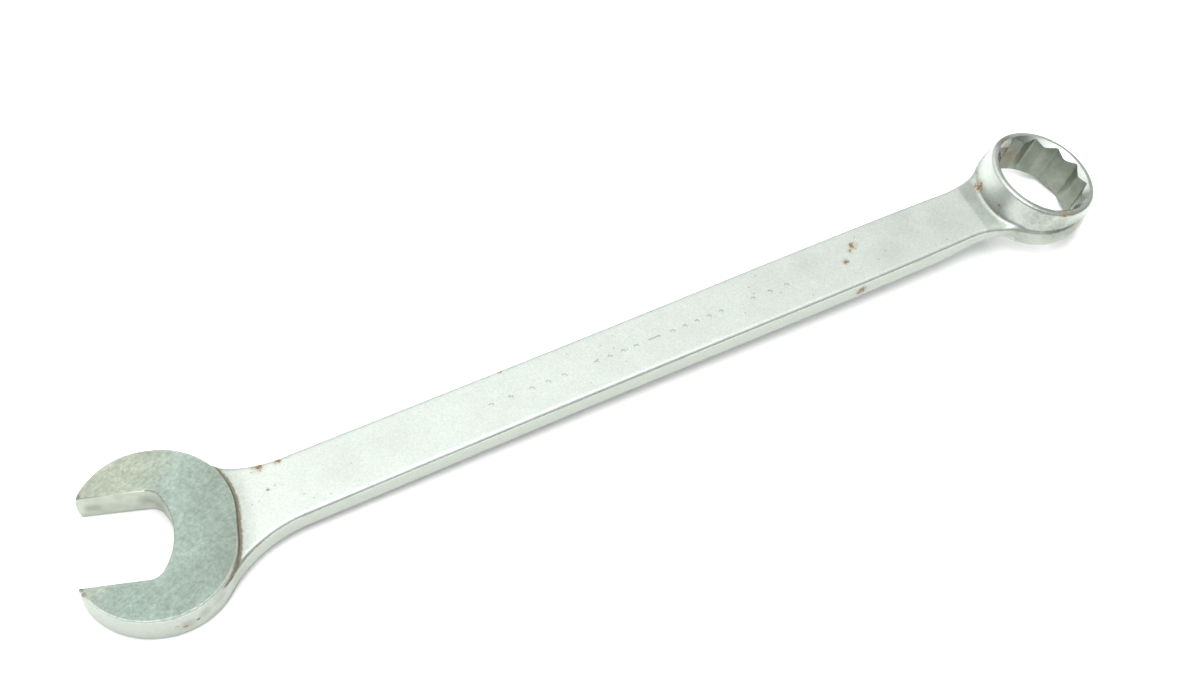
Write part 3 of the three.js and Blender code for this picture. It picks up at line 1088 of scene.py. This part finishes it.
def surroundings():
    """Pale from above and behind, darker in front, as in a white tent open to the room."""
    world = bpy.data.worlds.new("studio")
    world.use_nodes = True
    bpy.context.scene.world = world
    tree = world.node_tree
    direction = node(tree, "ShaderNodeTexCoord").outputs["Generated"]
    parts = node(tree, "ShaderNodeSeparateXYZ", {0: direction}).outputs
    overhead = ranged(tree, parts["Z"], 0.3, 0.9)
    behind = ranged(tree, parts["Y"], -0.1, 0.6)
    behind = maths(tree, "MULTIPLY", behind, ranged(tree, parts["Z"], 0.12, 0.46))
    to_right = ranged(tree, parts["X"], 0.27, 0.5, 1.0, 0.52)
    share = maths(tree, "MULTIPLY", maths(tree, "MAXIMUM", overhead, behind), to_right)
    stage = bpy.context.scene.wrench_stage
    colour = blended(tree, share, darker(stage.light_colour, 0.12), stage.light_colour)
    background = tree.nodes["Background"]
    tree.links.new(colour, background.inputs["Color"])
    background.inputs["Strength"].default_value = stage.surround_strength


# ---- Properties, operators and panel ----


class WrenchSizes(PropertyGroup):
    """Driving sizes of the wrench."""

    across_flats: FloatProperty(
        name="Across flats", description="Opening of both ends", default=0.02565, unit="LENGTH"
    )
    mouth_angle: FloatProperty(
        name="Mouth angle", description="Turn of the mouth from the shank", default=radians(17.2),
        unit="ROTATION",
    )
    head_thickness: FloatProperty(
        name="Head thickness", description="Between the ground faces", default=0.0105, unit="LENGTH"
    )
    lobe_radius: FloatProperty(
        name="Jaw radius", description="Round outside of each jaw", default=0.0216, unit="LENGTH"
    )
    shank_thickness: FloatProperty(
        name="Shank thickness", description="Between its faces", default=0.0082, unit="LENGTH"
    )
    ring_tilt: FloatProperty(
        name="Ring tilt", description="Lean of the box end", default=radians(16.5), unit="ROTATION"
    )


def colour_property(name, description, default):
    return FloatVectorProperty(
        name=name, description=description, default=(*default, 1), size=4, subtype="COLOR",
        min=0, max=1,
    )


class WrenchFinish(PropertyGroup):
    """Colours and roughness of the wrench's surfaces."""

    plate_colour: colour_property("Plate", "Satin plate", (0.605, 0.66, 0.615))
    ground_colour: colour_property("Ground steel", "The head's ground faces", (0.345, 0.43, 0.38))
    handled_colour: colour_property(
        "Handled steel", "Where the ground faces are warmed by handling", (0.385, 0.425, 0.345)
    )
    mouth_colour: colour_property("Mouth", "The milled flats of the mouth", (0.475, 0.52, 0.45))
    trimmed_colour: colour_property("Trimmed", "Walls left by the flash", (0.465, 0.51, 0.455))
    bore_colour: colour_property("Bore", "Walls of the twelve-point bore", (0.29, 0.33, 0.275))
    # The films' colour, used both for dirt and for painted shade.
    film_and_shade_colour: colour_property("Film", "Thin film of dirt", (0.13, 0.14, 0.10))
    rust_colour: colour_property("Rust", "Rust where the plate is broken", (0.20, 0.095, 0.035))
    stain_colour: colour_property("Stain", "Thin stain round rust", (0.44, 0.35, 0.22))
    # Darkens the corners as painted shade and dirt, and is the darker colour within rust.
    grime_and_shade_colour: colour_property("Grime", "Dirt in the corners", (0.085, 0.075, 0.04))
    plate_roughness: FloatProperty(
        name="Plate roughness", description="How matt the plate is", default=0.41, subtype="FACTOR"
    )
    ground_roughness: FloatProperty(
        name="Ground roughness", description="How matt the ground faces are", default=0.42,
        subtype="FACTOR",
    )


class WrenchStage(PropertyGroup):
    """Floor and light."""

    floor_colour: colour_property("Floor", "Plain pale floor", (0.92, 0.92, 0.92))
    light_colour: colour_property("Soft light", "Colour of the light all round", (1.0, 1.0, 1.0))
    surround_strength: FloatProperty(
        name="Surroundings", description="Strength of the light all round", default=1.6
    )
    key_power: FloatProperty(
        name="Softbox", description="Power of the overhead softbox", default=3.6, unit="POWER"
    )
    wash_power: FloatProperty(
        name="Floor wash", description="Power of the light that whitens the floor", default=13.5,
        unit="POWER",
    )


class WRENCH_OT_forging(Operator):
    """Draws the whole forging, grinds its head, and cuts its mouth, bore and marks"""

    bl_idname = "wrench.forging"
    bl_label = "Forge the Wrench"

    def execute(self, context):
        forging = build_forging()
        forging.hide_render = True
        context.scene["wrench_place"] = [list(row) for row in wrench_place(forging)]
        return {"FINISHED"}


class WRENCH_OT_open_end(Operator):
    """Parts off the two jaws and the throat of the open end"""

    bl_idname = "wrench.open_end"
    bl_label = "Add the Open End"

    def execute(self, context):
        corner_u = throat_centres()[1]
        slope = tan(context.scene.wrench_sizes.mouth_angle)
        middle, root = (from_mouth(u, u * slope) for u in (corner_u, -FAR))
        far, near = (from_mouth(corner_u, v) for v in (FAR, -FAR))
        far_tip, near_tip = (from_mouth(-FAR, v) for v in (FAR, -FAR))
        regions = {
            "upper_jaw": [root, middle, far, far_tip],
            "lower_jaw": [near_tip, near, middle, root],
            "throat": [near, (NECK_X, -FAR), (NECK_X, FAR), far],
        }
        for name, outline in regions.items():
            finished_region(name, outline, head_finish)
        return {"FINISHED"}


def shank_region(start, end):
    return [(start, -FAR), (end, -FAR), (end, FAR), (start, FAR)]


class WRENCH_OT_shank(Operator):
    """Parts off the shank and the necks at its ends"""

    bl_idname = "wrench.shank"
    bl_label = "Add the Shank and Necks"

    def execute(self, context):
        start, end = SHANK_X
        regions = {
            "open_end_neck": (NECK_X, start),
            "shank": (start, end),
            "box_end_neck": (end, RING_X),
        }
        for name, reach in regions.items():
            finished_region(name, shank_region(*reach), plain_finish)
        return {"FINISHED"}


class WRENCH_OT_box_end(Operator):
    """Parts off the ring of the box end"""

    bl_idname = "wrench.box_end"
    bl_label = "Add the Box End"

    def execute(self, context):
        beyond = RING_X + FAR
        finished_region("box_ring", shank_region(RING_X, beyond), ring_finish)
        forging = bpy.data.objects["forging"]
        bpy.data.meshes.remove(forging.data)
        return {"FINISHED"}


class WRENCH_OT_stage(Operator):
    """Adds the floor, the soft lights and the camera"""

    bl_idname = "wrench.stage"
    bl_label = "Set the Stage"

    def execute(self, context):
        floor()
        surroundings()
        stage = context.scene.wrench_stage
        softbox("overhead_softbox", SOFTBOX_PLACE, SOFTBOX_SIZE, stage.key_power)
        wash = softbox("floor_wash", WASH_PLACE, WASH_SIZE, stage.wash_power)
        wash.visible_glossy = False
        camera()
        context.scene.view_settings.view_transform = "Standard"
        return {"FINISHED"}


OPERATORS = (
    WRENCH_OT_forging,
    WRENCH_OT_open_end,
    WRENCH_OT_shank,
    WRENCH_OT_box_end,
    WRENCH_OT_stage,
)


class WRENCH_PT_panel(Panel):
    """Lists the steps that build the wrench"""

    bl_idname = "WRENCH_PT_panel"
    bl_label = "Combination Wrench"
    bl_space_type = "VIEW_3D"
    bl_region_type = "UI"
    bl_category = "Wrench"

    def draw(self, context):
        for scene_name, group in GROUPS.items():
            for name in group.__annotations__:
                self.layout.prop(getattr(context.scene, scene_name), name)
        for operator in OPERATORS:
            self.layout.operator(operator.bl_idname)


GROUPS = {
    "wrench_sizes": WrenchSizes,
    "wrench_finish": WrenchFinish,
    "wrench_stage": WrenchStage,
}


def register():
    for group in GROUPS.values():
        bpy.utils.register_class(group)
    for name, group in GROUPS.items():
        setattr(bpy.types.Scene, name, PointerProperty(type=group))
    for operator in OPERATORS:
        bpy.utils.register_class(operator)
    bpy.utils.register_class(WRENCH_PT_panel)


def unregister():
    bpy.utils.unregister_class(WRENCH_PT_panel)
    for operator in reversed(OPERATORS):
        bpy.utils.unregister_class(operator)
    for name in GROUPS:
        delattr(bpy.types.Scene, name)
    for group in GROUPS.values():
        bpy.utils.unregister_class(group)


def main():
    """Registers the add-on and builds everything in order."""
    register()
    bpy.ops.wrench.forging()
    bpy.ops.wrench.open_end()
    bpy.ops.wrench.shank()
    bpy.ops.wrench.box_end()
    bpy.ops.wrench.stage()


if __name__ == "__main__":
    main()
